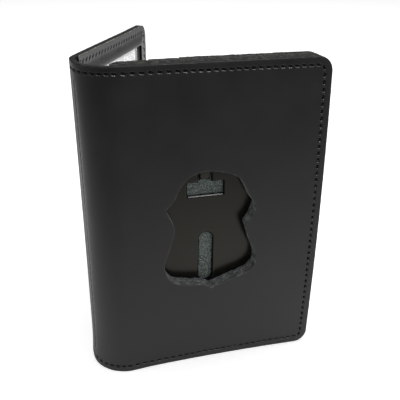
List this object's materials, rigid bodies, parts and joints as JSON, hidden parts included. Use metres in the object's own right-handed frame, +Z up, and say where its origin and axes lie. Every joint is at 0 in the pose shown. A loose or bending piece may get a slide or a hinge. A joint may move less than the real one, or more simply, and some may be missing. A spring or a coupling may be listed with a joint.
{
  "type": "badge and ID wallet",
  "caption": "Book-style black leather wallet standing open, with a badge-shaped recess in its front panel and a clear ID window inside its back panel.",
  "frame": {"origin": "Middle of the base's bounding box, on the surface that the wallet stands on", "axes": "+Z up along the spine, the front panel's outer face towards -Y, its free edge towards +X, the back panel opening away towards +Y"},
  "size_m": [0.0892, 0.087, 0.121],
  "materials": {
    "cover_leather": "smooth black leather with a soft sheen",
    "backing_leather": "smooth black-brown leather, burnished at its cut edges",
    "fibre_board": "grey bonded fibre, cut edge fibrous",
    "felt": "grey-green felt",
    "pocket_leather": "thin smooth black leather",
    "lining_cloth": "plain black lining cloth",
    "card": "blank white card",
    "clear_vinyl": "clear glossy sheet",
    "frame_leather": "smooth black leather with a soft sheen",
    "thread": "black waxed thread"
  },
  "bodies": {
    "front_panel": {"front_cover": "cover_leather", "front_fold": "cover_leather", "recess_spacer": "fibre_board", "badge_backing": "backing_leather", "felt_backer": "felt", "card_pocket_base": "pocket_leather", "card_pocket_1": "pocket_leather", "card_pocket_2": "pocket_leather", "front_seam_outer": "thread", "front_seam_inner": "thread", "front_fold_seam": "thread"},
    "spine": {"spine_leather": "cover_leather", "spine_seam": "thread"},
    "back_panel": {"back_cover": "cover_leather", "back_fold": "cover_leather", "back_lining": "lining_cloth", "id_window": "clear_vinyl", "id_frame": "frame_leather", "back_seam_outer": "thread", "back_seam_inner": "thread", "back_fold_seam": "thread"},
    "id_card": {"id_card": "card"}
  },
  "joints": [
    {"name": "front_fold_hinge", "type": "hinge", "parent": "front_panel", "child": "spine", "pos_m": [-0.0381, -0.04254, 0.0605], "axis": [0, 0, 1], "range_deg": [-32.1, 58.4], "deforming": ["front_fold", "front_fold_seam"]},
    {"name": "back_fold_hinge", "type": "hinge", "parent": "spine", "child": "back_panel", "pos_m": [-0.04542, -0.0306, 0.0605], "axis": [0, 0, 1], "range_deg": [-32.1, 58.4], "deforming": ["back_fold", "back_fold_seam"]},
    {"name": "id_card_slide", "type": "slide", "parent": "back_panel", "child": "id_card", "axis": [0.454, 0.891, 0], "range_m": [0, 0.0087]}
  ],
  "couplings": [
    {"joint": "back_fold_hinge", "follows": "front_fold_hinge", "ratio": 1}
  ]
}
